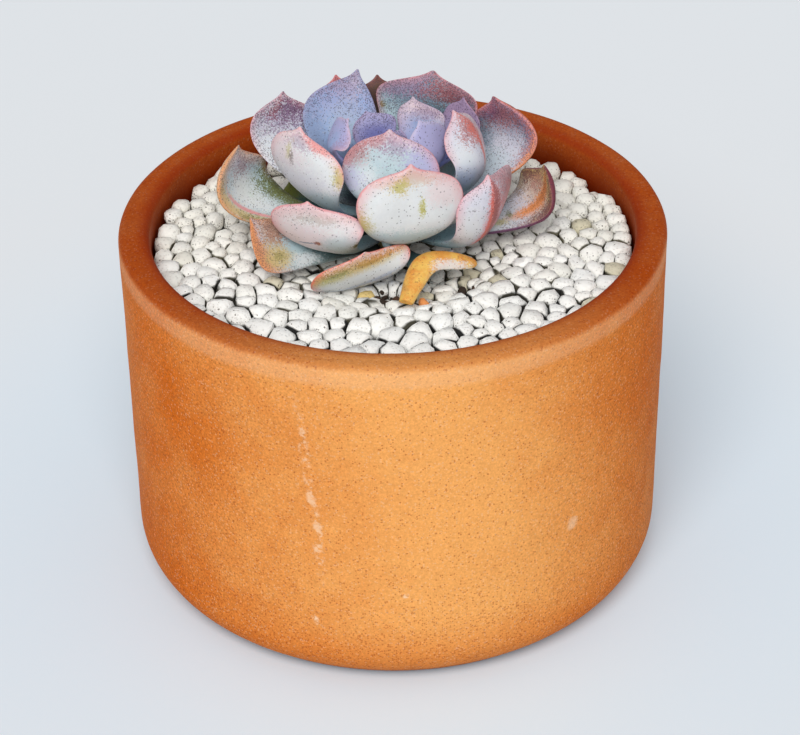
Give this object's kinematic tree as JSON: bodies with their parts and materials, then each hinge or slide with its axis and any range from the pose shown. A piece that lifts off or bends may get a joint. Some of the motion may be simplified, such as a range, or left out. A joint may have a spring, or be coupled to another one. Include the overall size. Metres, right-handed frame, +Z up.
{
  "type": "potted echeveria",
  "caption": "Rosette succulent with cupped, pink-edged leaves in a straight terracotta pot filled with soil and dressed with pumice stones.",
  "frame": {"origin": "centre of the pot's underside, on the pot's axis", "axes": "+Z up along the pot's axis; -Y towards the side that the picture shows; +X to the right in the picture"},
  "size_m": [0.1, 0.1, 0.0892],
  "materials": {
    "terracotta": "matte unglazed",
    "potting_soil": "crumbly",
    "pumice": "rough",
    "stem": "matte",
    "leaf_bloom": "waxy bloom",
    "leaf_violet": "waxy bloom",
    "leaf_lilac": "waxy bloom",
    "leaf_green": "waxy bloom",
    "leaf_orange": "waxy bloom",
    "leaf_withered": "dry"
  },
  "bodies": {
    "root": {"pot": "terracotta", "soil": "potting_soil", "pumice": "pumice", "stem": "stem", "leaf_low_front_left": "leaf_bloom", "leaf_right_front": "leaf_bloom", "leaf_front": "leaf_bloom", "leaf_front_left": "leaf_bloom", "leaf_inner_front": "leaf_bloom", "leaf_left_rear": "leaf_violet", "leaf_right_rear": "leaf_violet", "leaf_back_left": "leaf_violet", "leaf_back_right": "leaf_violet", "leaf_core_left": "leaf_violet", "leaf_core_back": "leaf_violet", "leaf_inner_right": "leaf_lilac", "leaf_inner_rear": "leaf_lilac", "leaf_inner_back": "leaf_lilac", "leaf_core_right": "leaf_lilac", "leaf_bud_left": "leaf_lilac", "leaf_bud_right": "leaf_lilac", "leaf_under_left": "leaf_green", "leaf_under_right": "leaf_green", "leaf_right": "leaf_green", "leaf_rear_right": "leaf_green", "leaf_rear_side": "leaf_green", "leaf_rear_left": "leaf_green", "leaf_left": "leaf_green", "leaf_back_centre": "leaf_green", "leaf_low_left": "leaf_orange", "leaf_low_front": "leaf_orange", "leaf_withered": "leaf_withered"}
  },
  "joints": []
}
